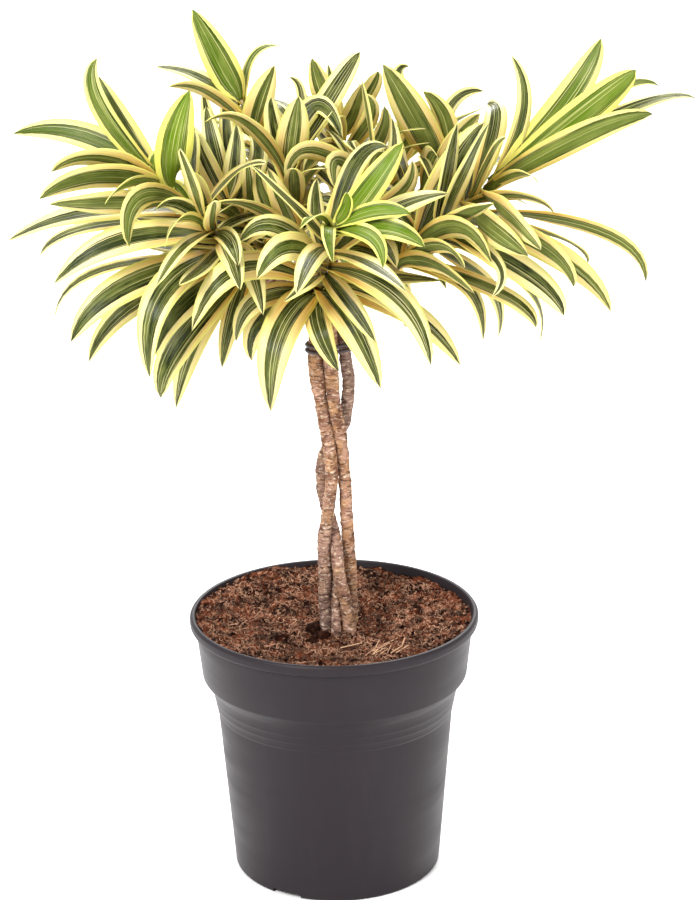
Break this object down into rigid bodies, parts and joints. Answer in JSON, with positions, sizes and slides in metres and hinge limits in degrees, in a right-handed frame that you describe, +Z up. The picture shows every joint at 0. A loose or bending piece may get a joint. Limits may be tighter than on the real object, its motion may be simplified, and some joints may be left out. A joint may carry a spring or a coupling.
{
  "type": "potted song of india dracaena",
  "caption": "Potted dracaena with variegated green and cream leaves on short shoots above a tied, braided trunk, in a round dark plastic pot of coir.",
  "frame": {"origin": "centre of the flat pad under the pot, on the surface that the pot stands on", "axes": "+Z up along the pot's axis, -Y towards the front of the plant, +X to the viewer's right"},
  "size_m": [0.537, 0.4156, 0.7244],
  "materials": {
    "pot_plastic": "satin dark grey moulded plastic",
    "coir": "rough, moist brown coir and peat",
    "bark": "dull tan bark with ring scars",
    "leaf": "satin, green with cream-yellow margins",
    "tie_cord": "satin dark cord"
  },
  "bodies": {
    "root": {"grower_pot": "pot_plastic", "soil": "coir", "cane_1": "bark", "cane_2": "bark", "cane_3": "bark", "cane_4": "bark", "cane_tie": "tie_cord", "head_01": "leaf", "head_02": "leaf", "head_03": "leaf", "head_04": "leaf", "head_05": "leaf", "head_06": "leaf", "head_07": "leaf", "head_08": "leaf", "head_09": "leaf", "head_10": "leaf", "head_11": "leaf", "head_12": "leaf", "head_13": "leaf"}
  },
  "joints": []
}
